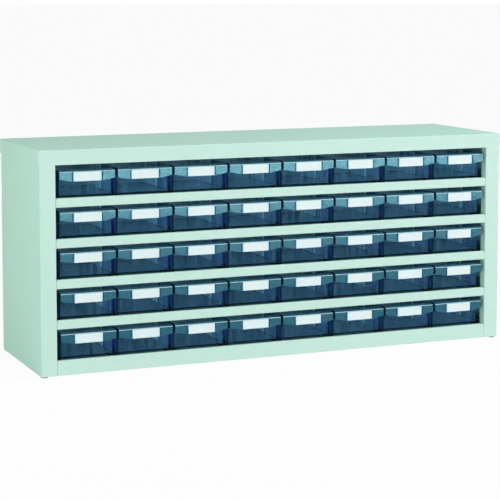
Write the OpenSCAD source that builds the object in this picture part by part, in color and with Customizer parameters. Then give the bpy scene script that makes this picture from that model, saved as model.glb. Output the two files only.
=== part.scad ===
// Parts bin cabinet: a folded steel case with rows of clear moulded drawers on guide strips.
// Frame: +X right, +Y back, +Z up, origin under the middle of the whole cabinet at its feet.

/* [Drawer grid] */
// Rows of drawers
rows = 5; // [2:1:5]
// Drawers in one row
columns = 8; // [2:1:8]
// Space between the trays of two neighbours
drawer_gap = 4.65; // [4.4:0.05:8]
// Height left between a drawer's rim and the rail above it
rim_clearance = 6.56; // [5.5:0.02:8]
// Space between the outer half gap and the stile
side_margin = 4.4; // [3:0.1:12]
// Extra opening height over the top row
top_row_extra = 3; // [0:0.1:4]

/* [Drawer tray] */
// Outside width of the tray
drawer_w = 97; // [85:0.5:120]
// Length of the tray, front wall to back wall
drawer_l = 230.7; // [215:0.1:320]
// Height of the tray, floor to rim
drawer_h = 45; // [42:0.5:70]
// Thickness of the side, front and back walls
wall_t = 1.8; // [1.4:0.1:2.4]
// Thickness of the tray's floor
floor_t = 1.8; // [1.2:0.1:3]
// Outside radius of the tray's upright corners
corner_r = 4; // [3:0.25:6]
// How far the rim bead stands out from the walls
bead_out = 0.8; // [0.4:0.1:1.2]
// Height of the rim bead
bead_h = 2.2; // [1.2:0.1:4]

/* [Pull] */
// Distance from the tray's front wall to the face of the pull
pull_reach = 15; // [13:0.5:25]
// How far each end of the pull stands in from the tray's side
pull_inset = 0; // [0:0.25:3]
// Height of the pull's face in the middle
lip_h = 16; // [15.8:0.1:20]
// Height of the pull's face at its two ends
lip_end_h = 12; // [8:0.5:14]
// How far the face keeps its full height past each card keeper
lip_margin = 0.4; // [0:0.1:4]
// Rise of the hood from the face to the rim
hood_rise = 3; // [2:0.25:6]
// Distance over which the hood curves back
hood_run = 10; // [8.5:0.25:12]
// Thickness of the pull
pull_t = 2; // [1.5:0.1:2.5]

/* [Label card] */
// Width of the label card
card_w = 49.4; // [40:0.2:49.6]
// Height of the label card
card_h = 15.2; // [10:0.1:15.4]
// Thickness of the label card
card_t = 0.4; // [0.2:0.05:0.5]
// Width of the L rib that holds each end of the card
keeper_w = 1.6; // [1.2:0.1:1.8]
// How far the keepers stand out from the pull's face
keeper_out = 1.4; // [1.2:0.1:2.5]

/* [Divider] */
// Thickness of the divider
divider_t = 1.5; // [1:0.1:2.5]
// Distance from the tray's rim down to the divider's top
divider_drop = 3; // [2:0.5:15]
// Stations with grooves for a divider
stations = 3; // [2:1:4]
// Station that holds the divider, counted from the front
divider_station = 2; // [1:1:2]
// Width of one groove rib
groove_rib_w = 1.2; // [0.8:0.1:2]
// How far a groove rib stands out from the wall
groove_rib_out = 1; // [0.6:0.1:1.6]

/* [Stop lugs] */
// Distance that a drawer pulls out
travel = 180; // [120:1:190]
// How far a stop lug reaches over the fold that it meets
lug_catch = 2.5; // [2:0.25:4]
// Size of the bevel at the front of a stop lug's top
lug_nose = 2; // [0.5:0.25:2]
// Length of a stop lug at its foot
lug_l = 12; // [8:0.5:20]
// Width of a stop lug
lug_w = 3; // [2:0.1:4]

/* [Case sheet] */
// Thickness of the steel sheet
sheet_t = 1; // [0.8:0.05:1.2]
// Radius of a fold at the middle of the sheet
fold_r = 1; // [0.8:0.05:1.1]
// Width of the stile at each side of the front
stile_w = 29; // [24:0.5:40]
// Depth of the flange that turns back from each stile
stile_return = 16; // [8:0.5:17]
// Height of the top panel's flanges, which form the top rail
top_rail_h = 25.4; // [20:0.2:40]
// Height of the bottom rail
bottom_rail_h = 25.5; // [20:0.5:40]
// Height of the rail at the front of each shelf
shelf_rail_h = 15.7; // [15:0.1:24]
// How far the rails stand back from the stiles
rail_recess = 1; // [0.4:0.1:3]
// Depth of the flat on top of a rail
rail_flat = 6; // [4:0.5:8]
// Distance from the case front to the end of a rail's lower fold
rail_return = 12; // [8:0.5:14]
// How far the shelf deck lies under the top of its rail
deck_drop = 2.5; // [2.4:0.05:3.2]
// Height of the folds that close the back and ends of a shelf
shelf_fold_h = 15; // [6:0.5:18]
// Width of the rear, top and bottom flanges of a side panel
side_flange_w = 18; // [16:0.5:24]
// Gap between the top panel's side flanges and the side panels
cap_gap = 0.3; // [0.1:0.05:0.5]
// Size of the relief notch at each end of a rail's top
notch = 1.5; // [1.2:0.1:4]

/* [Guide strips] */
// Height of the ledge that carries the drawers
ledge_h = 3.3; // [3.1:0.05:5]
// Width of the ledge under each drawer
ledge_w = 6; // [3:0.5:12]
// Thickness of the rib between two drawers
guide_rib_t = 3.2; // [1.6:0.1:3.4]
// Height of the rib over the ledge
guide_rib_h = 10; // [5:0.5:20]
// Distance from the case front to the guide strips
guide_front = 20; // [18:0.5:40]
// Gap between the drawers and what they run on or stop against
run_gap = 0.3; // [0.2:0.05:0.5]

/* [Feet and rivets] */
// Diameter of a foot pad
foot_d = 13; // [8:0.5:15]
// Height of a foot pad
foot_h = 2; // [1:0.1:6]
// Distance from the case's side and front to a foot's middle
foot_inset = 8.8; // [8.8:0.1:9.6]
// Rivets down each side of the back panel
rivets = 5; // [2:1:8]
// Diameter of a rivet's shank
rivet_d = 3.2; // [2.4:0.1:4]
// Clearance between a rivet and its hole, on the diameter
rivet_clearance = 0.1; // [0.05:0.05:0.3]

/* [Hidden] */
$fn = 48;
eps = 0.01;

// Sizes across
pitch_x = drawer_w + drawer_gap;
opening_w = columns * pitch_x + 2 * side_margin;
case_w = opening_w + 2 * stile_w;
cap_over = sheet_t + cap_gap;
side_x = case_w / 2 - cap_over;
rail_half = opening_w / 2 - run_gap;
deck_half = side_x - sheet_t;

// Sizes front to back, counted from the case front
tray_back = pull_reach + drawer_l;
deck_back = tray_back + run_gap + sheet_t;
side_back = deck_back + sheet_t;
panel_back = side_back + sheet_t;
case_d = panel_back + sheet_t;
wing_front = stile_return + 3;
stop_face = rail_return + run_gap + travel;
front_y = -(case_d - keeper_out) / 2;

// Sizes up and down
lift = ledge_h - deck_drop + run_gap;
row_opening = lift + drawer_h + rim_clearance;
pitch_z = row_opening + shelf_rail_h;
lug_h = rim_clearance + top_row_extra + sheet_t + lug_catch;
case_h = bottom_rail_h + rows * row_opening + (rows - 1) * shelf_rail_h + top_row_extra + top_rail_h;
top_z = foot_h + case_h;
cap_under = top_z - sheet_t;

// Sizes of the pull
pull_w = drawer_w - 2 * pull_inset;
hood_r = (hood_run * hood_run + hood_rise * hood_rise) / (2 * hood_rise);
lip_top = drawer_h - hood_rise;
lip_bottom = lip_top - lip_h;
card_fit = 0.05;
card_z = lip_bottom + (lip_h - card_h) / 2;
keeper_x = card_w / 2 + run_gap;
keeper_foot = 0.3;
lip_full_half = keeper_x + keeper_w + lip_margin;

// Sizes inside the tray
inner_w = drawer_w - 2 * wall_t;
inner_l = drawer_l - 2 * wall_t;
divider_fit = 0.2;
divider_h = drawer_h - floor_t - divider_drop;

// Rivets
rivet_head_d = 2 * rivet_d;
rivet_head_h = sheet_t;

ROW_NODES = [for (r = [1 : rows]) for (c = [1 : columns]) str("drawer_r", r, "_c", c)];
SHELF_NODES = [for (r = [1 : rows - 1]) str("shelf_", r)];
GUIDE_NODES = [for (r = [1 : rows]) str("guide_strips_row_", r)];
FOOT_NODES = ["foot_front_left", "foot_front_right", "foot_back_left", "foot_back_right"];

// Height of the rail's top in a row, where row 1 is the top one
function rail_z(row) = foot_h + bottom_rail_h + (rows - row) * pitch_z;
// Middle of a column, where column 1 is the left one
function column_x(column) = (column - (columns + 1) / 2) * pitch_x;
// Distance from the front to the middle of a divider station
function station_y(i) = pull_reach + wall_t + i * inner_l / (stations + 1);
function unit(v) = v / norm(v);

// Draws its child, given as X and depth, in the plan of the case and h high
module in_plan(h) {
    translate([0, front_y, 0]) linear_extrude(h) children();
}

// Extrudes a profile drawn as depth and height along X, centred on w
module along_x(w) {
    translate([-w / 2, 0, 0]) rotate([90, 0, 90]) linear_extrude(w) children();
}

// Extrudes a profile drawn as X and height along the depth, from y0 to y1
module along_y(y0, y1) {
    translate([0, y1, 0]) rotate([90, 0, 0]) linear_extrude(y1 - y0) children();
}

// Section of a folded sheet whose middle follows a path of square turns
module folded_section(path) {
    last = len(path) - 1;
    for (i = [0 : last - 1]) {
        along = unit(path[i + 1] - path[i]);
        half = [-along[1], along[0]] * sheet_t / 2;
        from = path[i] + (i == 0 ? 0 : fold_r) * along;
        to = path[i + 1] - (i == last - 1 ? 0 : fold_r) * along;
        polygon([from - half, to - half, to + half, from + half]);
    }
    for (i = [1 : 1 : last - 1]) {
        came = unit(path[i] - path[i - 1]);
        goes = unit(path[i + 1] - path[i]);
        reach = 2 * (fold_r + sheet_t);
        translate(path[i] + fold_r * (goes - came)) intersection() {
            difference() {
                circle(fold_r + sheet_t / 2);
                circle(fold_r - sheet_t / 2);
            }
            polygon([[0, 0], -goes * reach, (came - goes) * reach, came * reach]);
        }
    }
}

// Rectangle with round corners, from its low corner
module round_rect(size, r) {
    translate([r, 0]) square([size[0] - 2 * r, size[1]]);
    translate([0, r]) square([size[0], size[1] - 2 * r]);
    for (x = [r, size[0] - r], y = [r, size[1] - r]) translate([x, y]) circle(r);
}

// Block from low to high whose edges are round, but for those at its bottom
module round_block(low, high, r) {
    size = high - low;
    deep = size[2] + 2 * r;
    intersection() {
        translate(low) linear_extrude(size[2]) round_rect([size[0], size[1]], r);
        translate([(low[0] + high[0]) / 2, low[1], high[2] - deep]) along_x(size[0])
            round_rect([size[1], deep], r);
        translate([low[0], 0, high[2] - deep]) along_y(low[1], high[1])
            round_rect([size[0], deep], r);
    }
}

// ---- Case ----

// Tray-shaped lid with flanges on all four sides and a fold behind its front flange
module top_panel() {
    outer_r = fold_r + sheet_t / 2;
    inner_r = fold_r - sheet_t / 2;
    half = case_w / 2;
    rail_bottom = top_z - top_rail_h;
    color("#b4d8c8") translate([0, front_y, 0]) {
        difference() {
            round_block([-half, 0, rail_bottom], [half, case_d, top_z], outer_r);
            translate([0, 0, -eps]) round_block([-half + sheet_t, sheet_t, rail_bottom],
                [half - sheet_t, case_d - sheet_t, cap_under + eps], inner_r);
        }
        translate([-rail_half, sheet_t, rail_bottom])
            cube([2 * rail_half, rail_return - sheet_t, sheet_t]);
    }
}

// Deck with its rail, its wings behind the stiles and the folds that close it
module deck(rail_h) {
    mid = sheet_t / 2;
    difference() {
        along_x(2 * rail_half) folded_section([
            [rail_return, mid - rail_h], [rail_recess + mid, mid - rail_h],
            [rail_recess + mid, -mid], [rail_recess + rail_flat, -mid],
            [rail_recess + rail_flat, -deck_drop - mid], [deck_back - mid, -deck_drop - mid],
            [deck_back - mid, shelf_fold_h - deck_drop]]);
        for (side = [-1, 1]) translate([side * rail_half, 0, 0])
            cube([2 * notch, 2 * (rail_recess + rail_flat + sheet_t), 2 * notch], center = true);
    }
    for (side = [0, 1]) mirror([side, 0, 0]) {
        translate([rail_half, wing_front, -deck_drop - sheet_t])
            cube([deck_half - rail_half, deck_back - fold_r - mid - wing_front, sheet_t]);
        translate([deck_half - sheet_t, wing_front, -deck_drop - shelf_fold_h])
            cube([sheet_t, deck_back - fold_r - mid - wing_front, shelf_fold_h]);
    }
}

module shelf(row) {
    color("#cde9df") translate([0, front_y, rail_z(row)]) deck(shelf_rail_h);
}

module bottom_panel() {
    color("#cde9df") translate([0, front_y, rail_z(rows)]) deck(bottom_rail_h);
}

// Side wall that folds round into the stile in front and a flange behind
module side_panel() {
    mid = sheet_t / 2;
    stile_x = case_w / 2 - stile_w;
    rail_bottom = top_z - top_rail_h;
    flange_y = side_back - 2 * sheet_t;
    difference() {
        translate([0, 0, foot_h]) in_plan(cap_under - mid - foot_h) folded_section([
            [stile_x + mid, stile_return], [stile_x + mid, mid], [side_x - mid, mid],
            [side_x - mid, side_back - mid], [side_x - side_flange_w, side_back - mid]]);
        translate([0, front_y - eps, rail_bottom]) cube([case_w, sheet_t + eps, top_rail_h]);
        rivet_places() cylinder(h = 4 * sheet_t, d = rivet_d + rivet_clearance, center = true);
    }
    translate([side_x - side_flange_w, front_y + sheet_t, foot_h])
        cube([side_flange_w - sheet_t, flange_y, sheet_t]);
    translate([side_x - side_flange_w, front_y + sheet_t, cap_under - sheet_t])
        cube([side_flange_w - mid, flange_y, sheet_t]);
}

module left_side_panel() {
    color("#aedac6") mirror([1, 0, 0]) side_panel();
}

module right_side_panel() {
    color("#aedac6") side_panel();
}

// Flat sheet that closes the back, outside the side panels' flanges
module back_panel() {
    color("#aedac6") difference() {
        translate([-side_x + sheet_t / 2, front_y + side_back, foot_h])
            cube([2 * side_x - sheet_t, sheet_t, case_h - 2 * sheet_t]);
        for (side = [0, 1]) mirror([side, 0, 0]) rivet_places()
            cylinder(h = 4 * sheet_t, d = rivet_d + rivet_clearance, center = true);
    }
}

// Puts its child at each rivet on the right, with +Z pointing out of the back
module rivet_places() {
    room = case_h - 2 * top_rail_h - 2 * bottom_rail_h;
    for (i = [0 : rivets - 1])
        translate([side_x - side_flange_w / 2, front_y + side_back,
                   foot_h + 2 * bottom_rail_h + i * room / (rivets - 1)])
            rotate([-90, 0, 0]) children();
}

// Domed head outside, shank through both sheets and a closed end inside
module rivet() {
    crown_r = (rivet_head_d * rivet_head_d / 4 + rivet_head_h * rivet_head_h) / (2 * rivet_head_h);
    translate([0, 0, sheet_t]) intersection() {
        translate([0, 0, rivet_head_h - crown_r]) sphere(crown_r);
        cylinder(h = rivet_head_h, d = rivet_head_d);
    }
    translate([0, 0, -sheet_t - eps]) cylinder(h = 2 * sheet_t + 2 * eps, d = rivet_d);
    translate([0, 0, -sheet_t - rivet_d / 2]) cylinder(h = rivet_d / 2, d = 1.5 * rivet_d);
}

module back_rivets() {
    color("#c4c8c6") for (side = [0, 1]) mirror([side, 0, 0]) rivet_places() rivet();
}

// Thin round rubber pad with a bevelled lower edge
module foot(side, end) {
    depth = end == 0 ? foot_inset : side_back - foot_inset;
    bevel = foot_h / 4;
    color("#22262a") translate([side * (case_w / 2 - foot_inset), front_y + depth, 0])
        rotate_extrude() polygon([[0, 0], [foot_d / 2 - bevel, 0], [foot_d / 2, bevel],
                                  [foot_d / 2, foot_h], [0, foot_h]]);
}

// ---- Guide strips ----

// Strip with a ledge for two neighbours and a rib between them
module guide_strip() {
    base_half = drawer_gap / 2 + ledge_w;
    top = ledge_h + guide_rib_h;
    intersection() {
        along_y(guide_front, deck_back - sheet_t) union() {
            translate([-base_half, 0]) square([2 * base_half, ledge_h]);
            translate([-guide_rib_t / 2, 0]) square([guide_rib_t, top]);
        }
        along_x(2 * base_half) polygon([[guide_front, 0], [guide_front, ledge_h],
            [guide_front + guide_rib_h, top], [deck_back, top], [deck_back, 0]]);
    }
}

module guide_strips(row) {
    color("#2b3236") translate([0, front_y, rail_z(row) - deck_drop])
        for (i = [0 : columns]) translate([(i - columns / 2) * pitch_x, 0, 0]) guide_strip();
}

// ---- Drawer ----

// Side view of the pull: straight face below, round hood above, cut back by an inset
module pull_section(inset, bottom) {
    r = hood_r - inset;
    centre = [hood_run, drawer_h - hood_r];
    shoulder = centre[1] + sqrt(r * r - pow(hood_run - inset, 2));
    back = inset == 0 ? pull_reach + wall_t : pull_reach;
    translate([inset, bottom]) square([back - inset, shoulder - bottom]);
    translate([hood_run, bottom]) square([back - hood_run, drawer_h - inset - bottom]);
    intersection() {
        translate(centre) circle(r);
        translate([inset, centre[1]]) square([hood_run - inset, hood_r]);
    }
}

// Hooded pull: a shell with closed ends, whose lower edge rises towards them
module pull() {
    end_z = lip_top - lip_end_h;
    difference() {
        intersection() {
            along_x(pull_w) pull_section(0, lip_bottom);
            along_y(0, pull_reach + wall_t) polygon([[-pull_w / 2, end_z], [-lip_full_half, lip_bottom],
                [lip_full_half, lip_bottom], [pull_w / 2, end_z], [pull_w / 2, drawer_h],
                [-pull_w / 2, drawer_h]]);
        }
        along_x(pull_w - 2 * pull_t) pull_section(pull_t, lip_bottom - eps);
    }
}

// L rib with a foot that holds the right-hand end of the label card
module keeper() {
    slot = card_t + 2 * card_fit;
    grip = keeper_w / 2;
    low = card_z - card_fit - keeper_foot;
    translate([0, 0, low]) linear_extrude(lip_top - low) {
        translate([keeper_x, -slot]) square([keeper_w, slot + eps]);
        translate([keeper_x - grip, -keeper_out]) square([keeper_w + grip, keeper_out - slot]);
    }
    translate([keeper_x - 2 * keeper_w, -keeper_out, low]) cube([2 * keeper_w, keeper_out + eps, keeper_foot]);
}

// Pair of ribs that hold a divider, on the right-hand wall at one station
module groove() {
    slot = divider_t / 2 + divider_fit;
    for (y = [-slot - groove_rib_w, slot])
        translate([inner_w / 2 - groove_rib_out, y, floor_t - eps])
            cube([groove_rib_out + eps, groove_rib_w, divider_h + eps]);
}

// Lug on the right-hand rim that meets the rail at the end of the travel
module lug() {
    translate([drawer_w / 2 - lug_w / 2, 0, 0]) along_x(lug_w)
        polygon([[stop_face, drawer_h - eps], [stop_face, drawer_h + lug_h - lug_nose],
            [stop_face + lug_nose, drawer_h + lug_h], [stop_face + 2 * lug_nose, drawer_h + lug_h],
            [stop_face + lug_l, drawer_h - eps]]);
}

// The moulded tray with its pull, rim bead, grooves and lugs, in one solid
module tray() {
    bead_w = drawer_w + 2 * bead_out;
    bead_y = pull_reach + wall_t;
    difference() {
        union() {
            translate([-drawer_w / 2, pull_reach, 0]) linear_extrude(drawer_h)
                round_rect([drawer_w, drawer_l], corner_r);
            intersection() {
                translate([-bead_w / 2, pull_reach, drawer_h - bead_h]) linear_extrude(bead_h)
                    round_rect([bead_w, drawer_l], corner_r + bead_out);
                translate([-bead_w / 2, bead_y + corner_r, 0]) cube([bead_w, drawer_l, drawer_h]);
            }
            pull();
        }
        translate([-inner_w / 2, pull_reach + wall_t, floor_t]) linear_extrude(drawer_h)
            round_rect([inner_w, inner_l], corner_r - wall_t);
    }
    for (side = [0, 1]) mirror([side, 0, 0]) {
        keeper();
        lug();
        for (i = [1 : stations]) translate([0, station_y(i), 0]) groove();
    }
}

// Flat plate that stands on the tray's floor between two pairs of grooves
module divider() {
    half = inner_w / 2 - divider_fit;
    low = floor_t + divider_fit;
    top = floor_t + divider_h;
    y = station_y(divider_station) - divider_t / 2;
    along_y(y, y + divider_t) polygon([[-half, low], [half, low], [half, top - corner_r],
        [half - corner_r, top], [corner_r - half, top], [-half, top - corner_r]]);
}

// Blank card on the pull's face
module label_card() {
    translate([-card_w / 2, -card_t - card_fit, card_z]) cube([card_w, card_t, card_h]);
}

module drawer(row, column) {
    translate([column_x(column), front_y, rail_z(row) + lift]) {
        color([0.25, 0.5, 0.65, 0.6]) tray();
        color([0.3, 0.55, 0.7, 0.6]) divider();
        color("white") label_card();
    }
}

top_panel();
bottom_panel();
left_side_panel();
right_side_panel();
back_panel();
back_rivets();
foot(-1, 0);  // foot_front_left
foot(1, 0);  // foot_front_right
foot(-1, 1);  // foot_back_left
foot(1, 1);  // foot_back_right
for (r = [1 : rows - 1]) shelf(r);
for (r = [1 : rows]) guide_strips(r);
for (r = [1 : rows], c = [1 : columns])
    drawer(r, c);
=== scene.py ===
# %% [markdown]
# # Parts bin cabinet
# The real object is a wide, low case of folded steel with forty clear blue drawers in five rows.
# Its construction is already packed as a fixed frame: every steel sheet, guide strip, foot and
# drawer sits there at its real size. This lesson adds the looks: a camera, the finishes, and finely
# moulded drawers in place of the plain ones.

# %% Load the frame
import math

import bmesh
import bpy
from mathutils import Matrix, Vector


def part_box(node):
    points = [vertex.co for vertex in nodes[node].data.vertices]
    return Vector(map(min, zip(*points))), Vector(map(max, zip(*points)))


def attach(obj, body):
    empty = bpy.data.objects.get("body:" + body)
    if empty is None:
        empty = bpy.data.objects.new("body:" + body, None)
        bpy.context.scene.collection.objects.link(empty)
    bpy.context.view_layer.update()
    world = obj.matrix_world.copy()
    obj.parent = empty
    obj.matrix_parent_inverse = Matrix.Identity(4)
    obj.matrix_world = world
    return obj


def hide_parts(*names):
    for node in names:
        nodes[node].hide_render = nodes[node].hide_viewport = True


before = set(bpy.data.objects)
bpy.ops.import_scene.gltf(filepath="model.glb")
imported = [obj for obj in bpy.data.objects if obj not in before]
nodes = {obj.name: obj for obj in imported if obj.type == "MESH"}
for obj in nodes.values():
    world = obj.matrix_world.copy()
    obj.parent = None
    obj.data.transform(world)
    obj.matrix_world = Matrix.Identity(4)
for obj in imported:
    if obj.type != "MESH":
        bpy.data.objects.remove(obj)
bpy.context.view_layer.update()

drawer_nodes = sorted(name for name in nodes if name.startswith("drawer_"))
print("nodes:", len(nodes), "of which drawers:", len(drawer_nodes))

# %% [markdown]
# ## Sizes
# Blender works in metres, and moulded plastic is drawn in millimetres, so every size below is
# written as millimetres times `MM`. The places of the case and of each drawer are read from the
# frame, so that a drawer always lands where the frame has it.

# %% Sizes of the moulding
MM = 0.001

case_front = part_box("top_panel")[0].y

tray_w = 97 * MM
tray_l = 230.7 * MM
tray_h = 45 * MM
wall = 1.8 * MM
corner_r = 4 * MM
bead_out = 0.8 * MM
bead_h = 2.2 * MM

pull_reach = 15 * MM
pull_w = 97 * MM
pull_wall = 2 * MM
lip_h = 16 * MM
lip_end_h = 12 * MM
hood_rise = 3 * MM
hood_run = 10 * MM

card_w = 49.4 * MM
card_h = 15.2 * MM
card_t = 0.4 * MM
keeper_w = 1.6 * MM
keeper_out = 1.4 * MM

lip_top = tray_h - hood_rise
lip_low = lip_top - lip_h
tray_front = pull_reach
tray_back = pull_reach + tray_l
print("case front at y =", round(case_front, 4))

# %% [markdown]
# ## Camera
# The cabinet is seen from its left and a little from above, through a long lens, which keeps its
# upright edges nearly parallel. The lens is shifted, as on a view camera, so that the camera can
# stay almost level while the cabinet sits in the middle of the picture. The aim is a point in the
# plane of the drawers' faces.

# %% Camera
camera_place = Vector((-1.1938, -2.7983, 0.6419))
camera_aim = Vector((-0.0617, case_front, 0.3693))
camera_lens = 121.2
camera_shift = -0.2

camera_data = bpy.data.cameras.new("camera")
camera_data.lens = camera_lens
camera_data.sensor_width = 36
camera_data.shift_y = camera_shift
camera = bpy.data.objects.new("camera", camera_data)
camera.location = camera_place
camera.rotation_euler = (camera_aim - camera_place).to_track_quat("-Z", "Y").to_euler()
bpy.context.scene.collection.objects.link(camera)
bpy.context.scene.camera = camera
print("camera looks along", [round(x, 3) for x in (camera_aim - camera_place).normalized()])

# %% [markdown]
# ## A small language for shaders
# A finish is a tree of nodes. Wiring it by hand takes many lines, so one class wraps an output
# socket and lets it be used in a Python expression: `0.46 + cloud * 0.08` then adds its Math nodes
# by itself. Every other kind of node comes from one method that takes the node's type, its settings
# and what goes into its sockets.

# %% Shader helpers
class Wire:
    """An output socket that adds a Math node when it is used in an expression."""

    def __init__(self, finish, socket):
        self.finish = finish
        self.socket = socket

    def maths(self, operation, a, b):
        return self.finish.node("ShaderNodeMath", {"operation": operation}, {0: a, 1: b})

    def __add__(self, other):
        return self.maths("ADD", self, other)

    def __mul__(self, other):
        return self.maths("MULTIPLY", self, other)

    __radd__ = __add__
    __rmul__ = __mul__


class Finish:
    """A material whose nodes are added one by one."""

    def __init__(self, name):
        self.material = bpy.data.materials.new(name)
        self.material.use_nodes = True
        self.tree = self.material.node_tree
        self.tree.nodes.clear()

    def node(self, kind, settings=None, inputs=None, output=0):
        """Adds a node, sets it up, fills or links its sockets and returns one output."""
        made = self.tree.nodes.new(kind)
        for key, value in (settings or {}).items():
            setattr(made, key, value)
        for key, value in (inputs or {}).items():
            if isinstance(value, Wire):
                self.tree.links.new(value.socket, made.inputs[key])
            else:
                made.inputs[key].default_value = value
        return Wire(self, made.outputs[output])

    def place(self):
        """The point on the piece, in metres."""
        return self.node("ShaderNodeTexCoord", output="Object")

    def noise(self, size, detail=2.0, stretch=(1, 1, 1)):
        """Soft noise from 0 to 1 whose blobs are about one size across, in metres."""
        spots = self.node("ShaderNodeMapping", inputs={"Vector": self.place(), "Scale": stretch})
        return self.node("ShaderNodeTexNoise", inputs={"Vector": spots, "Scale": 1 / size, "Detail": detail})

    def mix_colour(self, share, first, second):
        """A colour between two others."""
        settings = {"data_type": "RGBA"}
        return self.node("ShaderNodeMix", settings, {0: share, 6: first, 7: second}, output=2)

    def bump(self, height, depth):
        """A normal that follows a height from 0 to 1, so many metres deep."""
        inputs = {"Height": height, "Distance": depth, "Strength": 1.0}
        return self.node("ShaderNodeBump", inputs=inputs)

    def end(self, shader):
        """Shows a shader on the surface and gives the material."""
        shown = self.tree.nodes.new("ShaderNodeOutputMaterial")
        self.tree.links.new(shader.socket, shown.inputs["Surface"])
        return self.material


def from_srgb(red, green, blue):
    """A screen colour, 0 to 255, as the linear colour that a shader takes."""
    def linear(level):
        share = level / 255
        return share / 12.92 if share <= 0.04045 else ((share + 0.055) / 1.055) ** 2.4
    return (linear(red), linear(green), linear(blue), 1)


print("shader helpers are ready")

# %% [markdown]
# ## Powder paint on steel
# The case is steel sheet under a pale mint powder paint. Powder flows out as it is baked, but keeps
# faint dimples a millimetre or two across, which break up its soft gloss. So the colour changes by
# a hair, the roughness a little more, and a shallow bump gives the dimples. The gloss is a thin
# coat over a matt base, because a full gloss would wash out the top, which is seen at a low angle.

# %% Painted steel
def painted_steel():
    finish = Finish("mint_powder_paint")
    cloud = finish.noise(0.09)
    dimples = finish.noise(0.0016, detail=1.0)
    shader = finish.node("ShaderNodeBsdfPrincipled", inputs={
        "Base Color": finish.mix_colour(cloud, from_srgb(191, 221, 211), from_srgb(195, 225, 215)),
        "Roughness": 0.46 + cloud * 0.08,
        "Normal": finish.bump(dimples, 0.00004),
        "Specular IOR Level": 0.0,
        "Coat Weight": 0.12,
        "Coat Roughness": 0.25,
    })
    return finish.end(shader)


paint = painted_steel()
print("made", paint.name)

# %% [markdown]
# ## Clear blue plastic
# The drawers are moulded in clear polystyrene with a deep blue tint. Two things are seen at once:
# what lies behind a wall, stained blue, and the wall itself. A Mix Shader joins a tinted
# Transparent shader with a glossy blue one, so lamp light also reaches the inside. At a glancing
# angle more plastic is in the way, so a Layer Weight makes the wall denser there, and upright flow
# lines make it uneven.
#
# One moulding shows many blues, so each part of it has the same shader with its own numbers. The
# front wall and the floor are clear. The walls behind the first rib are paler as painted light, the ribs
# carry a painted highlight in nearly white, and the corners, cheeks and floor lines carry painted shade.

# %% Tinted plastics
plastic_tint = (0.76, 0.91, 0.98, 1)


def clear_plastic(name, square_on, edge_on, gather, least=0.015, flow=0.02, gloss=0.05):
    """Clear plastic with upright flow lines, which gets denser where it is seen edge on."""
    finish = Finish(name)
    streaks = finish.noise(0.0035, detail=3.0, stretch=(1, 0.4, 0.08))
    facing = finish.node("ShaderNodeLayerWeight", inputs={"Blend": 0.5}, output="Facing")
    seen_through = finish.node("ShaderNodeBsdfTransparent", inputs={"Color": plastic_tint})
    wall = finish.node("ShaderNodeBsdfPrincipled", inputs={
        "Base Color": finish.mix_colour(facing, from_srgb(*square_on), from_srgb(*edge_on)),
        "Roughness": 0.12 + streaks * 0.1,
        "Normal": finish.bump(streaks, 0.00008),
        "Specular IOR Level": gloss,
        "Specular Tint": (0.1, 0.7, 1, 1),
    })
    share = least + streaks * flow + facing * facing * facing * gather
    return finish.end(finish.node("ShaderNodeMixShader", inputs={0: share, 1: seen_through, 2: wall}))


clear_blue = clear_plastic("clear_blue_plastic", (110, 180, 215), (100, 155, 175), 1.2,
                           flow=0.05, gloss=0.5)
front_blue = clear_plastic("front_blue_plastic", (125, 185, 222), (50, 110, 150), 1.2,
                           least=-0.08, flow=0.38, gloss=0.5)
wall_blue = clear_plastic("wall_blue_plastic", (100, 165, 205), (75, 130, 195), 2.4)
# Painted light: a paler, denser blue stands for the light that falls on the walls behind the first rib.
painted_lit_zone_blue = clear_plastic("lit_blue_plastic", (165, 218, 240), (200, 240, 250), 1.6,
                         least=-0.2, flow=1.2)
floor_blue = clear_plastic("floor_blue_plastic", (120, 170, 210), (125, 172, 218), 0.7,
                           least=-0.1, flow=1.2)
side_blue = clear_plastic("side_blue_plastic", (70, 120, 190), (65, 75, 170), 3.0)
# Painted highlight: the ribs get a nearly white, nearly opaque blue, as where they catch the light.
rib_painted_highlight_blue = clear_plastic("rib_blue_plastic", (225, 248, 255), (225, 248, 255), 3.0, least=0.8)
# Painted shade: the round outer corners get a very dark, nearly opaque blue.
corner_painted_shade_blue = clear_plastic("corner_blue_plastic", (16, 44, 58), (40, 80, 130), -2.4, least=0.85)
# Painted shade: a near-black blue for the lines along the floor, the front wall's foot and the divider's
# foot.
line_painted_shade_blue = clear_plastic("line_blue_plastic", (8, 24, 34), (8, 24, 34), 1.0, least=0.85)
# Painted shade: the pull's cheeks get a dark blue, as they look in the shadow between the drawers.
cheek_painted_shade_blue = clear_plastic("cheek_blue_plastic", (32, 76, 108), (14, 36, 54), 1.0, least=0.75)
divider_blue = clear_plastic("divider_blue_plastic", (190, 228, 235), (60, 110, 150), 1.2,
                             least=0.4, flow=0.5)
print("made", [m.name for m in bpy.data.materials if m.name.endswith("_blue_plastic")])

# %% [markdown]
# ## Grained plastic
# The face of each pull has a spark-eroded grain, which scatters the light and hides what is
# behind. It is still glossy enough to mirror the lamps as soft patches, so the faces aren't equally
# pale from row to row. The round brow over a face has a painted highlight, with the same grain.

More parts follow.
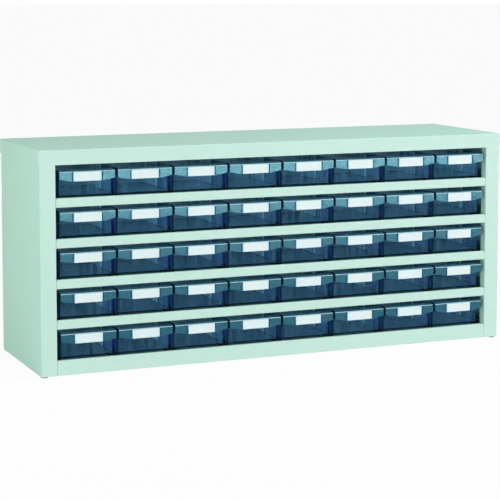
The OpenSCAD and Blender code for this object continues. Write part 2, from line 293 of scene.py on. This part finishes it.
# %% Grained plastic
def grained_plastic(name, dark, pale, least, spread):
    """Blue plastic with a fine sparkling grain."""
    finish = Finish(name)
    grain = finish.noise(0.0018, detail=4.0)
    seen_through = finish.node("ShaderNodeBsdfTransparent", inputs={"Color": plastic_tint})
    face = finish.node("ShaderNodeBsdfPrincipled", inputs={
        "Base Color": finish.mix_colour(grain, from_srgb(*dark), from_srgb(*pale)),
        "Roughness": 0.15 + grain * 0.12,
        "Normal": finish.bump(grain, 0.000015),
        "IOR": 1.8,
        "Specular Tint": (0.34, 1, 0.93, 1),
    })
    share = least + grain * spread
    return finish.end(finish.node("ShaderNodeMixShader", inputs={0: share, 1: seen_through, 2: face}))


grained_blue = grained_plastic("grained_blue_plastic", (8, 50, 84), (34, 90, 118), 0.55, 0.5)
# Painted highlight: a pale, nearly opaque grained finish on the brow, as where its edge catches the light.
brow_painted_highlight_blue = grained_plastic("brow_blue_plastic", (190, 228, 236), (225, 245, 250), 0.85, 0.15)
print("made", grained_blue.name, "and", brow_painted_highlight_blue.name)

# %% [markdown]
# ## The other finishes
# The label cards are uncoated white card with a faint fibre. The guide strips are dark nylon, the
# feet black rubber, and the rivets bare aluminium with a fine grain.

# %% Card, nylon, rubber and aluminium
def white_card():
    finish = Finish("white_card")
    fibre = finish.noise(0.0012, detail=4.0, stretch=(0.4, 1, 1))
    shader = finish.node("ShaderNodeBsdfPrincipled", inputs={
        "Base Color": finish.mix_colour(fibre, from_srgb(215, 228, 230), from_srgb(222, 235, 237)),
        "Roughness": 0.75 + fibre * 0.1,
        "Normal": finish.bump(fibre, 0.00003),
        "IOR": 1.4,
    })
    return finish.end(shader)


def plain_moulding(name, dark, pale, rough, grain_size, ior=1.45, metallic=0.0):
    """A moulded or drawn finish between two colours, with a fine grain."""
    finish = Finish(name)
    grain = finish.noise(grain_size, detail=3.0)
    shader = finish.node("ShaderNodeBsdfPrincipled", inputs={
        "Base Color": finish.mix_colour(grain, from_srgb(*dark), from_srgb(*pale)),
        "Roughness": rough + grain * 0.12,
        "Normal": finish.bump(grain, 0.00004),
        "IOR": ior,
        "Metallic": metallic,
    })
    return finish.end(shader)


card = white_card()
nylon = plain_moulding("dark_nylon", (12, 16, 18), (20, 26, 29), 0.6, 0.0015, ior=1.2)
rubber = plain_moulding("black_rubber", (24, 26, 28), (36, 39, 41), 0.7, 0.001)
aluminium = plain_moulding("bare_aluminium", (176, 180, 180), (204, 207, 206),
                           0.3, 0.0006, metallic=1.0)
print("made", [m.name for m in (card, nylon, rubber, aluminium)])

# %% Finish the frame's own pieces
def dress(node, material):
    """Gives a node of the frame one finish all over."""
    slots = node.data.materials
    slots.clear()
    slots.append(material)


def finish_for(name):
    """The finish of a node of the frame, by what it is."""
    if name.startswith("guide_strips"):
        return nylon
    if name.startswith("foot_"):
        return rubber
    if name == "back_rivets":
        return aluminium
    if name.startswith("drawer_"):
        return clear_blue
    return paint


for name, node in nodes.items():
    dress(node, finish_for(name))
print("dressed", len(nodes), "nodes")

# %% [markdown]
# ## Modelling helpers
# Everything from here is modelled as by hand, with the same operators that the keys and menus call.
# An operator works on what is selected, so the helpers below empty the selection, add a block
# between two corners, open edit mode, and select faces, edges or points by where they are. The
# named limits say how far a direction must point along an axis to count.

# %% Modelling helpers
X, Y, Z = 0, 1, 2
ALONG = 0.9
EXACTLY_ALONG = 0.99
HALFWAY = 0.5
SIDEWAYS = 0.3
TURNED = 0.2
ACROSS = 0.1
soften_angle = math.radians(40)
smooth_angle = math.radians(35)
soft_edge = 0.3 * MM


def block(name, low, high):
    """A block between two corners, with its place in its mesh."""
    bpy.ops.object.select_all(action="DESELECT")
    low, high = Vector(low), Vector(high)
    bpy.ops.mesh.primitive_cube_add(size=1, location=(low + high) / 2, scale=high - low)
    bpy.ops.object.transform_apply(location=True, rotation=True, scale=True)
    piece = bpy.context.object
    piece.name = name
    piece.data.name = name
    return piece


def select(kind, test):
    """In edit mode, selects the "faces", "edges" or "verts" whose middle and direction pass a test."""
    bpy.ops.mesh.select_all(action="DESELECT")
    mesh = bmesh.from_edit_mesh(bpy.context.object.data)
    mesh.normal_update()
    chosen = []
    for item in getattr(mesh, kind):
        if kind == "faces":
            passed = test(item.calc_center_median(), item.normal)
        elif kind == "edges":
            start, end = (v.co for v in item.verts)
            passed = test((start + end) / 2, (end - start).normalized())
        else:
            passed = test(item.co)
        if passed:
            chosen.append(item)
    for item in chosen:
        item.select_set(True)
    bmesh.update_edit_mesh(bpy.context.object.data)
    return len(chosen)


def near(a, b, slack=0.00002):
    """True where two lengths are the same to a fiftieth of a millimetre."""
    return abs(a - b) < slack


def extrude(x=0.0, y=0.0, z=0.0):
    """Pulls the selected faces or edges out by a distance."""
    bpy.ops.mesh.extrude_region_move(TRANSFORM_OT_translate={"value": (x, y, z)})


def slice_at(axis, place, test):
    """Cuts across the faces that pass a test, at one place along an axis."""
    select("faces", test)
    point = Vector((0, 0, 0))
    point[axis] = place
    across = Vector((0, 0, 0))
    across[axis] = 1
    bpy.ops.mesh.bisect(plane_co=point, plane_no=across)


def apply_modifier(piece, kind, **settings):
    """Adds a modifier, sets it up and applies it."""
    bpy.ops.object.select_all(action="DESELECT")
    bpy.context.view_layer.objects.active = piece
    piece.select_set(True)
    modifier = piece.modifiers.new(kind.lower(), kind)
    for key, value in settings.items():
        setattr(modifier, key, value)
    bpy.ops.object.modifier_apply(modifier=modifier.name)


def soften(piece, width, segments=2):
    """Rounds the piece's sharp edges."""
    apply_modifier(piece, "BEVEL", width=width, segments=segments, limit_method="ANGLE",
                   angle_limit=soften_angle, use_clamp_overlap=True)


def merge_into(piece, other):
    """Makes one solid of two and removes the second."""
    apply_modifier(piece, "BOOLEAN", operation="UNION", solver="EXACT", object=other)
    bpy.data.objects.remove(other)


print("modelling helpers are ready")

# %% [markdown]
# ## The bin of a drawer
# A drawer is modelled once, with the middle of its face at the origin and its length along +Y.
# The bin starts as a block. Its upright edges are bevelled round, its top face is inset by the
# thickness of the wall, and the inset face is pushed down to the floor, which leaves a thin box
# with an even wall.

# %% Bin
floor_t = 1.8 * MM
bin_piece = block("tray", (-tray_w / 2, tray_front, 0), (tray_w / 2, tray_back, tray_h))
bpy.ops.object.mode_set(mode="EDIT")
select("edges", lambda middle, way: abs(way.z) > ALONG)
bpy.ops.mesh.bevel(offset=corner_r, segments=6, affect="EDGES")
select("faces", lambda middle, normal: normal.z > ALONG)
bpy.ops.mesh.inset(thickness=wall)
extrude(z=floor_t - tray_h)
bpy.ops.object.mode_set(mode="OBJECT")
print("bin faces:", len(bin_piece.data.polygons))

# %% [markdown]
# ## Where the plastic looks dark
# Light that enters the floor at the front comes out nowhere, so the front wall ends in a black
# line as high as the floor is thick. The fillets between the floor and the walls bend the light
# away and draw a thin dark line too. The faces are cut there, so that these strips can be given a
# near-black finish as painted shade.

# %% Cuts for the dark strips
dark_line = 1.2 * MM
inner_half = tray_w / 2 - wall


def front_wall(middle, normal):
    """True for the outside of the front wall."""
    return normal.y < -ALONG and near(middle.y, tray_front)


def inner_floor(middle, normal):
    """True for the floor inside the bin."""
    return normal.z > ALONG and near(middle.z, floor_t)


bpy.ops.object.mode_set(mode="EDIT")
slice_at(Z, floor_t, front_wall)
for side in (-1, 1):
    slice_at(X, side * (inner_half - dark_line), inner_floor)
bpy.ops.object.mode_set(mode="OBJECT")
print("bin faces with the cuts:", len(bin_piece.data.polygons))

# %% [markdown]
# ## Rim bead
# A bead runs round the outside of the rim and stiffens it. The outer walls are cut just under the
# rim, and the strip above the cut is fattened outwards. It stops behind the front corners, where
# the pull takes over.

# %% Rim bead
bead_start = tray_front + wall + corner_r
bin_middle = Vector((0, (tray_front + tray_back) / 2, 0))


def faces_out(middle, normal):
    """True for the outer walls of the bin, which face away from its middle."""
    return abs(normal.z) < ACROSS and (middle - bin_middle).dot(normal) > 0


def on_rim(middle, normal):
    """True for the strip of the outer walls above the cut."""
    return faces_out(middle, normal) and middle.z > tray_h - bead_h


bpy.ops.object.mode_set(mode="EDIT")
slice_at(Z, tray_h - bead_h, faces_out)
slice_at(Y, bead_start, on_rim)
select("faces", lambda middle, normal: on_rim(middle, normal) and middle.y > bead_start)
bpy.ops.mesh.extrude_region_shrink_fatten(TRANSFORM_OT_shrink_fatten={
    "value": bead_out, "use_even_offset": True})
bpy.ops.object.mode_set(mode="OBJECT")
print("width over the beads:", round(bin_piece.dimensions.x / MM, 2), "mm")

# %% [markdown]
# ## Grooves for the divider
# Three pairs of ribs stand on each inner side wall, and a divider drops in between two of them. The
# wall is cut across at the edges of every rib and at their top, and the narrow faces that this
# makes are pulled out of the wall. They start just over the floor, as if from their own fillet.

# %% Groove ribs
stations = 3
divider_station = 2
divider_t = 1.5 * MM
divider_fit = 0.2 * MM
divider_drop = 3 * MM
rib_w = 1.2 * MM
rib_out = 1 * MM
rib_low = floor_t + dark_line
rib_top = tray_h - divider_drop


def station_y(number):
    """The middle of a divider station, counted from the front."""
    return tray_front + wall + number * (tray_l - 2 * wall) / (stations + 1)


def inner_side(middle, normal):
    """True for the two flat inner walls along the bin."""
    return abs(normal.x) > EXACTLY_ALONG and near(abs(middle.x), inner_half)


half_slot = divider_t / 2 + divider_fit
rib_edges = []
for number in range(1, stations + 1):
    for edge in (-half_slot - rib_w, -half_slot, half_slot, half_slot + rib_w):
        rib_edges.append(station_y(number) + edge)

bpy.ops.object.mode_set(mode="EDIT")
for place in rib_edges:
    slice_at(Y, place, inner_side)
for place in (rib_low, rib_top):
    slice_at(Z, place, inner_side)


def on_rib(middle, normal):
    """True for the parts of the inner walls that become ribs."""
    if not inner_side(middle, normal) or not rib_low < middle.z < rib_top:
        return False
    pairs = zip(rib_edges[::2], rib_edges[1::2])
    return any(start < middle.y < end for start, end in pairs)


for side in (-1, 1):
    select("faces", lambda middle, normal: on_rib(middle, normal) and middle.x * side > 0)
    extrude(x=-side * rib_out)
bpy.ops.object.mode_set(mode="OBJECT")
soften(bin_piece, 0.35 * MM)
print("bin with ribs:", len(bin_piece.data.polygons), "faces")

# %% [markdown]
# ## Hooded pull
# The pull is a hood in front of the bin: a flat face for the label, a round brow over it and two
# closed cheeks. It is drawn as a skin. A plane is the face, and its lower edge is lifted at both
# ends. The face's top edge is spun back about the middle of the brow's arc, then pulled on to the
# rim. The cheeks fill the open ends, and a Solidify modifier gives the skin its thickness inwards.

# %% Pull
card_side_gap = 0.3 * MM
keeper_margin = 0.4 * MM
short_of_wall = 0.1 * MM
hood_steps = 8
keeper_x = card_w / 2 + card_side_gap
lip_full_half = keeper_x + keeper_w + keeper_margin
pull_half = pull_w / 2
pull_back = tray_front + wall - short_of_wall
hood_r = (hood_run ** 2 + hood_rise ** 2) / (2 * hood_rise)
hood_centre = Vector((0, hood_run, tray_h - hood_r))
hood_turn = math.asin(hood_run / hood_r)
cheek_low = lip_top - lip_end_h

bpy.ops.object.select_all(action="DESELECT")
bpy.ops.mesh.primitive_plane_add(size=1, location=(0, 0, (lip_low + lip_top) / 2),
                                 rotation=(math.pi / 2, 0, 0))
pull = bpy.context.object
pull.name = "pull"
pull.scale = (pull_w, lip_h, 1)
bpy.ops.object.transform_apply(location=True, rotation=True, scale=True)
bpy.ops.object.mode_set(mode="EDIT")
for place in (-lip_full_half, lip_full_half):
    slice_at(X, place, lambda middle, normal: True)
select("verts", lambda at: near(abs(at.x), pull_half) and near(at.z, lip_low))
bpy.ops.transform.translate(value=(0, 0, cheek_low - lip_low))
select("edges", lambda middle, way: near(middle.z, lip_top))
bpy.ops.mesh.spin(steps=hood_steps, angle=hood_turn, center=hood_centre, axis=(1, 0, 0))
select("edges", lambda middle, way: near(middle.z, tray_h) and abs(way.x) > ALONG)
extrude(y=pull_back - hood_run)
select("verts", lambda at: near(abs(at.x), pull_half) and near(at.z, cheek_low))
extrude(y=pull_back)
for side in (-1, 1):
    select("verts", lambda at: near(at.x, side * pull_half))
    bpy.ops.mesh.edge_face_add()
bpy.ops.mesh.select_all(action="SELECT")
bpy.ops.mesh.remove_doubles(threshold=0.01 * MM)
bpy.ops.mesh.normals_make_consistent(inside=False)
bpy.ops.object.mode_set(mode="OBJECT")
apply_modifier(pull, "SOLIDIFY", thickness=pull_wall, offset=-1, use_even_offset=True)
soften(pull, soft_edge)
low = [round(min(v.co[i] for v in pull.data.vertices) / MM, 2) for i in range(3)]
high = [round(max(v.co[i] for v in pull.data.vertices) / MM, 2) for i in range(3)]
print("pull from", low, "to", high, "mm")

# %% [markdown]
# ## Card keepers
# Two L-shaped ribs hold the ends of the label card. Each starts as an upright block. Its front part
# is pulled inwards to grip the card, and its lowest part is pulled further, as the foot that the
# card stands on. The left one is a mirror of the right one.

# %% Keepers
card_fit = 0.05 * MM
card_low = lip_low + (lip_h - card_h) / 2
slot_depth = card_t + 2 * card_fit
foot_h = 0.3 * MM
keeper_low = card_low - card_fit - foot_h
into_pull = 0.5 * MM
keepers = block("keepers", (keeper_x, -keeper_out, keeper_low),
                (keeper_x + keeper_w, into_pull, lip_top))
bpy.ops.object.mode_set(mode="EDIT")


def inner_end(middle, normal):
    """True for the side of a keeper that faces the card."""
    return normal.x < -ALONG


slice_at(Y, -slot_depth, inner_end)
select("faces", lambda middle, normal: inner_end(middle, normal) and middle.y < -slot_depth)
extrude(x=-keeper_w / 2)
slice_at(Z, keeper_low + foot_h, inner_end)
select("faces", lambda middle, normal: inner_end(middle, normal) and middle.z < keeper_low + foot_h
       and middle.y < -slot_depth)
extrude(x=-1.5 * keeper_w)
bpy.ops.object.mode_set(mode="OBJECT")
apply_modifier(keepers, "MIRROR")
soften(keepers, 0.12 * MM, segments=1)
print("keepers:", len(keepers.data.polygons), "faces")

# %% [markdown]
# ## Stop lugs
# Near the back of the rim stand two lugs. When the drawer is pulled out, they meet the fold behind
# the rail above and stop it. A lug is a block whose top is drawn forwards into a buttress, with a
# bevelled nose so that it rides up under the fold when the drawer is put in.

# %% Lugs
lug_h = 13.06 * MM
lug_l = 12 * MM
lug_w = 3 * MM
lug_y = 192.3 * MM
lug_nose = 2 * MM
into_rim = 1 * MM
lugs = block("lugs", (tray_w / 2 - lug_w, lug_y, tray_h - into_rim),
             (tray_w / 2, lug_y + lug_l, tray_h + lug_h))
bpy.ops.object.mode_set(mode="EDIT")
select("verts", lambda at: at.z > tray_h and at.y > lug_y + lug_l / 2)
bpy.ops.transform.translate(value=(0, 2 * lug_nose - lug_l, 0))
select("edges", lambda middle, way: abs(way.x) > ALONG and middle.z > tray_h
       and near(middle.y, lug_y))
bpy.ops.mesh.bevel(offset=lug_nose, segments=1, affect="EDGES")
bpy.ops.object.mode_set(mode="OBJECT")
apply_modifier(lugs, "MIRROR")
soften(lugs, soft_edge, segments=1)
print("lugs:", len(lugs.data.polygons), "faces")

# %% [markdown]
# ## One moulding
# The real drawer is one shot of plastic, and in a clear material every hidden inner wall would show.
# So the parts are joined by Boolean unions, which leave only the outer skin. Then the faces get
# their finishes by where they are. A later line overrides an earlier one, and a face that no line
# picks keeps the first finish, the clear one.

# %% Join the tray
for other in (pull, keepers, lugs):
    merge_into(bin_piece, other)
bpy.ops.object.mode_set(mode="EDIT")
bpy.ops.mesh.select_all(action="SELECT")
bpy.ops.mesh.remove_doubles(threshold=0.004 * MM)
bpy.ops.object.mode_set(mode="OBJECT")
finishes = [clear_blue, front_blue, grained_blue, brow_painted_highlight_blue, wall_blue, painted_lit_zone_blue, floor_blue, side_blue,
            rib_painted_highlight_blue, corner_painted_shade_blue, line_painted_shade_blue, cheek_painted_shade_blue]
bin_piece.data.materials.clear()
for finish in finishes:
    bin_piece.data.materials.append(finish)
slack = 0.1 * MM
brow_below = 4 * slack
brow_depth = 1.4 * MM
first_rib = station_y(1) - half_slot - rib_w
last_rib_end = tray_back - wall - corner_r


def finish_faces(finish, test):
    """In edit mode, gives the faces that pass a test one of the finishes."""
    count = select("faces", test)
    bin_piece.active_material_index = finishes.index(finish)
    bpy.ops.object.material_slot_assign()
    return count


def inside_bin(middle, normal):
    """True for the inner walls and the floor of the bin, with the ribs."""
    return (abs(middle.x) < inner_half + slack and floor_t - slack < middle.z < tray_h - slack
            and tray_front + wall - slack < middle.y < tray_back - wall + slack)


def beside_floor(middle, normal):
    """True for the strips where the floor meets the two walls along the bin."""
    return (inside_bin(middle, normal) and middle.z < rib_low
            and abs(middle.x) > inner_half - dark_line)


def behind_first_rib(middle, normal):
    """True for the inner faces from the first rib to the back."""
    return inside_bin(middle, normal) and middle.y > first_rib


def bin_floor(middle, normal):
    """True for the floor inside the bin, with its rounded edges."""
    return inside_bin(middle, normal) and normal.z > ALONG and middle.z < rib_low


def rib_faces(middle, normal):
    """True for what stands out from the inner walls."""
    return (inside_bin(middle, normal) and middle.z > rib_low
            and abs(middle.x) < inner_half - slack
            and first_rib - slack < middle.y < last_rib_end)


def outer_side(middle, normal):
    """True for the outside of the walls along the bin, under the bead."""
    return (abs(normal.x) > SIDEWAYS and abs(middle.x) > inner_half + wall / 2
            and middle.z < tray_h - bead_h)


def cheek(middle, normal):
    """True for the closed ends of the pull, inside and outside."""
    return (abs(normal.x) > SIDEWAYS and abs(middle.x) > inner_half
            and middle.y < tray_front and middle.z > cheek_low)


def in_corner(middle, normal):
    """True for the round upright corners outside the bin."""
    return (abs(normal.x) > TURNED and abs(normal.y) > TURNED
            and abs(middle.x) > inner_half - corner_r and middle.z < tray_h - bead_h
            and not inside_bin(middle, normal) and middle.y > tray_front - slack)


def front_foot(middle, normal):
    """True for the lowest strip of the front wall, in front of the floor."""
    return normal.y < -HALFWAY and middle.y < tray_front + slack and middle.z < floor_t


def brow(middle, normal):
    """True for the first bit of the round brow over the pull's face."""
    return (middle.z > lip_top - brow_below and -slack < middle.y < brow_depth
            and abs(normal.x) < SIDEWAYS)


bpy.ops.object.mode_set(mode="EDIT")
finish_faces(wall_blue, inside_bin)
# Painted light on the inner faces from the first rib to the back.
finish_faces(painted_lit_zone_blue, behind_first_rib)
finish_faces(front_blue, front_wall)
finish_faces(floor_blue, bin_floor)
# Painted highlight on the ribs.
finish_faces(rib_painted_highlight_blue, rib_faces)
finish_faces(side_blue, outer_side)
# Painted shade on the cheeks of the pull.
finish_faces(cheek_painted_shade_blue, cheek)
# Painted shade on the round outer corners.
finish_faces(corner_painted_shade_blue, in_corner)
# Painted shade along the floor and on the front wall's foot.
finish_faces(line_painted_shade_blue, beside_floor)
finish_faces(line_painted_shade_blue, front_foot)
# Painted highlight on the brow over the face.
finish_faces(brow_painted_highlight_blue, brow)
count = finish_faces(grained_blue, lambda middle, normal: normal.y < -ALONG
                     and near(middle.y, 0, slack))
bpy.ops.object.mode_set(mode="OBJECT")
bpy.ops.object.shade_smooth_by_angle(angle=smooth_angle)
apply_modifier(bin_piece, "WEIGHTED_NORMAL", keep_sharp=True)
print("tray:", len(bin_piece.data.polygons), "faces, of which grained:", count)

# %% [markdown]
# ## Divider and card
# The divider is a flat plate with its two top corners cut off, so that it slides into its grooves.
# Its foot, where the plastic lies against the floor, gets a near-black finish as painted shade. The
# card is a strip of thin board with slightly rounded corners.

# %% Divider and card
divider_y = station_y(divider_station) - divider_t / 2
divider_half = inner_half - divider_fit
divider_foot = floor_t + 2 * dark_line
card_corner_r = 0.5 * MM
divider = block("divider", (-divider_half, divider_y, floor_t + divider_fit),
                (divider_half, divider_y + divider_t, rib_top))
bpy.ops.object.mode_set(mode="EDIT")
select("edges", lambda middle, way: abs(way.y) > ALONG and near(middle.z, rib_top))
bpy.ops.mesh.bevel(offset=corner_r, segments=1, affect="EDGES")
bpy.ops.object.mode_set(mode="OBJECT")
soften(divider, soft_edge)
divider.data.materials.append(divider_blue)
divider.data.materials.append(line_painted_shade_blue)
bpy.ops.object.mode_set(mode="EDIT")
slice_at(Z, divider_foot, lambda middle, normal: abs(normal.y) > ALONG)
# Painted shade on the divider's foot.
select("faces", lambda middle, normal: middle.z < divider_foot)
divider.active_material_index = divider.data.materials.find(line_painted_shade_blue.name)
bpy.ops.object.material_slot_assign()
bpy.ops.object.mode_set(mode="OBJECT")
bpy.ops.object.shade_smooth_by_angle(angle=smooth_angle)

card_piece = block("card", (-card_w / 2, -card_t - card_fit, card_low),
                   (card_w / 2, -card_fit, card_low + card_h))
bpy.ops.object.mode_set(mode="EDIT")
select("edges", lambda middle, way: abs(way.y) > ALONG)
bpy.ops.mesh.bevel(offset=card_corner_r, segments=3, affect="EDGES")
bpy.ops.object.mode_set(mode="OBJECT")
card_piece.data.materials.append(card)
bpy.ops.object.shade_smooth_by_angle(angle=smooth_angle)
print("divider and card:", len(divider.data.polygons), "and", len(card_piece.data.polygons), "faces")

# %% [markdown]
# ## Forty drawers
# The three pieces are copied to each drawer's place, each copy with its own mesh, and ride on that
# drawer's body. The tray stands for the frame's plain drawer, which is then hidden.

# %% Copies
def copy_to(piece, name, place, body):
    """Puts a copy of a piece at a drawer's place, riding on its body."""
    mesh = piece.data.copy()
    mesh.transform(Matrix.Translation(place))
    mesh.name = name
    made = bpy.data.objects.new(name, mesh)
    bpy.context.scene.collection.objects.link(made)
    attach(made, body)
    return made


for name in drawer_nodes:
    low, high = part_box(name)
    place = Vector(((low.x + high.x) / 2, case_front, low.z))
    moulding = copy_to(bin_piece, name + "_tray", place, name)
    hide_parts(name)
    copy_to(divider, name + "_divider", place, name)
    copy_to(card_piece, name + "_card", place, name)
for pattern in (bin_piece, divider, card_piece):
    bpy.data.objects.remove(pattern)
print("copied", len(drawer_nodes), "drawers")

# %% [markdown]
# ## Floor and light
# The cabinet stands on a white floor. To a camera ray the floor and the world are mostly plain
# white, so the background stays white without more light on the cabinet, and the floor still shows
# a soft shadow. Five flat lamps light the cabinet: a low, long one in front, one far to the left
# that reaches into the drawers, one beside the left panel, one behind and one high on the right.
# The world lifts the rest.

# %% Floor, world and lamps
floor_size = 160
floor_glow = 0.94
world_strength = 0.35


def seen_directly(tree):
    """A factor that is 1 for rays from the camera, a gloss or a glass, and 0 for light."""
    rays = tree.nodes.new("ShaderNodeLightPath")
    total = rays.outputs["Is Camera Ray"]
    for name in ("Is Glossy Ray", "Is Transmission Ray"):
        added = tree.nodes.new("ShaderNodeMath")
        added.operation = "ADD"
        tree.links.new(total, added.inputs[0])
        tree.links.new(rays.outputs[name], added.inputs[1])
        total = added.outputs[0]
    return total


def white_floor():
    finish = Finish("white_floor")
    seen = Wire(finish, seen_directly(finish.tree))
    lit = finish.node("ShaderNodeBsdfDiffuse", inputs={"Color": (0.9, 0.9, 0.9, 1)})
    plain = finish.node("ShaderNodeEmission", inputs={"Color": (1, 1, 1, 1), "Strength": 1.0})
    return finish.end(finish.node("ShaderNodeMixShader", inputs={0: seen * floor_glow, 1: lit, 2: plain}))


bpy.ops.object.select_all(action="DESELECT")
bpy.ops.mesh.primitive_plane_add(size=floor_size, location=(0, 0, 0))
floor = bpy.context.object
floor.name = "floor"
floor.data.materials.append(white_floor())

world = bpy.data.worlds.new("studio")
bpy.context.scene.world = world
world.use_nodes = True
tree = world.node_tree
tree.nodes.clear()
soft = tree.nodes.new("ShaderNodeBackground")
soft.inputs["Color"].default_value = (0.92, 1, 0.955, 1)
soft.inputs["Strength"].default_value = world_strength
white = tree.nodes.new("ShaderNodeBackground")
white.inputs["Color"].default_value = (1, 1, 1, 1)
mixed = tree.nodes.new("ShaderNodeMixShader")
shown = tree.nodes.new("ShaderNodeOutputWorld")
tree.links.new(seen_directly(tree), mixed.inputs[0])
tree.links.new(soft.outputs[0], mixed.inputs[1])
tree.links.new(white.outputs[0], mixed.inputs[2])
tree.links.new(mixed.outputs[0], shown.inputs["Surface"])


def lamp(name, place, aim, width, height, power, colour):
    """A flat lamp at a place, turned to a point."""
    data = bpy.data.lights.new(name, "AREA")
    data.shape = "RECTANGLE"
    data.size = width
    data.size_y = height
    data.energy = power
    data.color = colour
    made = bpy.data.objects.new(name, data)
    made.location = place
    made.rotation_euler = (Vector(aim) - Vector(place)).to_track_quat("-Z", "Y").to_euler()
    bpy.context.scene.collection.objects.link(made)


lamp("front_lamp", (1.0, -2.3, 0.1), (1.0, 0, 0.1), 1.9, 0.2, 15.8, (1.0, 0.76, 0.88))
lamp("left_lamp", (-2.6, -2.9, 0.3), (0, 0, 0.2), 1.0, 0.5, 34, (1.0, 1.0, 1.0))
lamp("side_lamp", (-1.5, -0.35, 0.75), (-0.44, 0, 0.2), 0.5, 0.5, 4.4, (0.8, 1, 0.88))
lamp("back_lamp", (0.6, 2.6, 0.2), (0, 0, 0.2), 1.2, 0.25, 22, (0.9, 1, 0.95))
lamp("high_lamp", (0.9, -0.9, 2.2), (0.1, 0, 0.3), 0.8, 0.8, 29, (0.86, 1, 0.95))
bpy.context.scene.view_settings.view_transform = "Standard"
